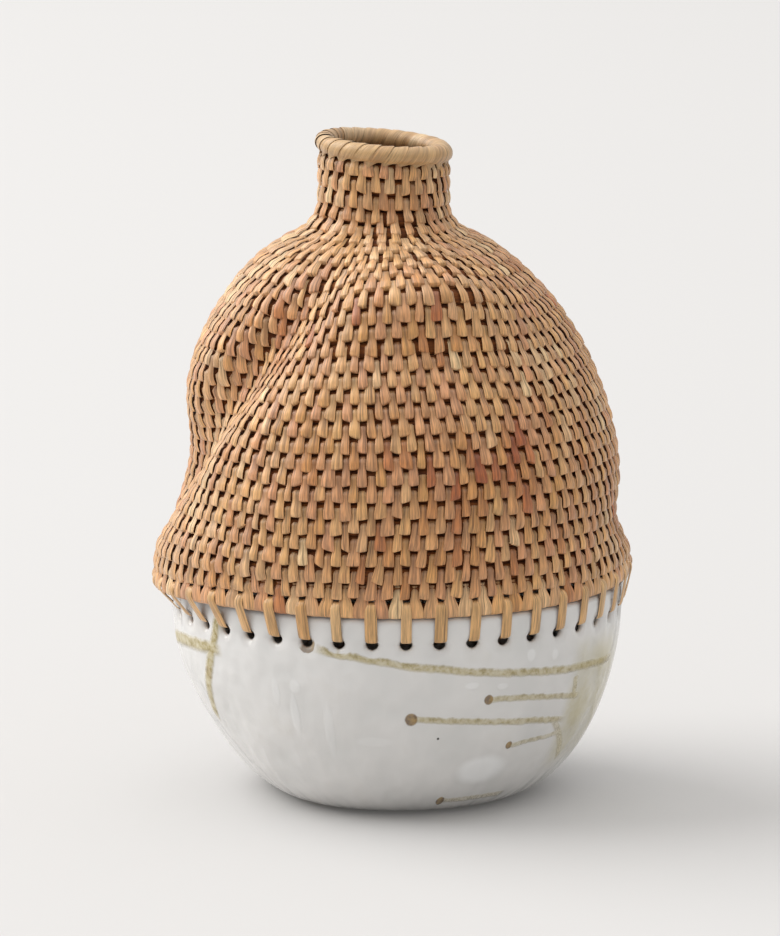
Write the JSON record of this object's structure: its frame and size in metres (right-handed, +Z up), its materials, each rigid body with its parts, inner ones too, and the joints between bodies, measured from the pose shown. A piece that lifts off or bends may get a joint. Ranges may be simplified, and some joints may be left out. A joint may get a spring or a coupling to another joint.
{
  "type": "woven vase",
  "caption": "Vase made of a glazed stoneware bowl with a pierced rim and a hand-shaped coiled grass basket with a narrow neck, laced on with leaf strips.",
  "frame": {"origin": "centre of the bowl's flat foot, on the surface that the vase stands on", "axes": "+Z up along the bowl's axis, -Y towards the front of the vase, +X to the viewer's right"},
  "size_m": [0.219, 0.2128, 0.3008],
  "materials": {
    "glazed_stoneware": "glossy white glaze with ochre runs",
    "bound_grass_coil": "dry leaf strips over a grass core",
    "leaf_binding": "dry split leaf, satin",
    "leaf_lacing": "dry split leaf, satin"
  },
  "bodies": {
    "root": {"ceramic_bowl": "glazed_stoneware", "rim_coil": "bound_grass_coil", "lower_wall_coil": "bound_grass_coil", "upper_wall_coil": "bound_grass_coil", "shoulder_coil": "bound_grass_coil", "neck_coil": "bound_grass_coil", "mouth_ring": "leaf_binding", "lacing_01": "leaf_lacing", "lacing_02": "leaf_lacing", "lacing_03": "leaf_lacing", "lacing_04": "leaf_lacing", "lacing_05": "leaf_lacing", "lacing_06": "leaf_lacing", "lacing_07": "leaf_lacing", "lacing_08": "leaf_lacing", "lacing_09": "leaf_lacing", "lacing_10": "leaf_lacing", "lacing_11": "leaf_lacing", "lacing_12": "leaf_lacing", "lacing_13": "leaf_lacing", "lacing_14": "leaf_lacing", "lacing_15": "leaf_lacing", "lacing_16": "leaf_lacing", "lacing_17": "leaf_lacing", "lacing_18": "leaf_lacing", "lacing_19": "leaf_lacing", "lacing_20": "leaf_lacing", "lacing_21": "leaf_lacing", "lacing_22": "leaf_lacing", "lacing_23": "leaf_lacing", "lacing_24": "leaf_lacing", "lacing_25": "leaf_lacing", "lacing_26": "leaf_lacing", "lacing_27": "leaf_lacing", "lacing_28": "leaf_lacing", "lacing_29": "leaf_lacing", "lacing_30": "leaf_lacing", "lacing_31": "leaf_lacing", "lacing_32": "leaf_lacing", "lacing_33": "leaf_lacing", "lacing_34": "leaf_lacing", "lacing_35": "leaf_lacing", "lacing_36": "leaf_lacing", "lacing_37": "leaf_lacing", "lacing_38": "leaf_lacing", "lacing_39": "leaf_lacing", "lacing_40": "leaf_lacing", "lacing_41": "leaf_lacing", "lacing_42": "leaf_lacing"}
  },
  "joints": []
}
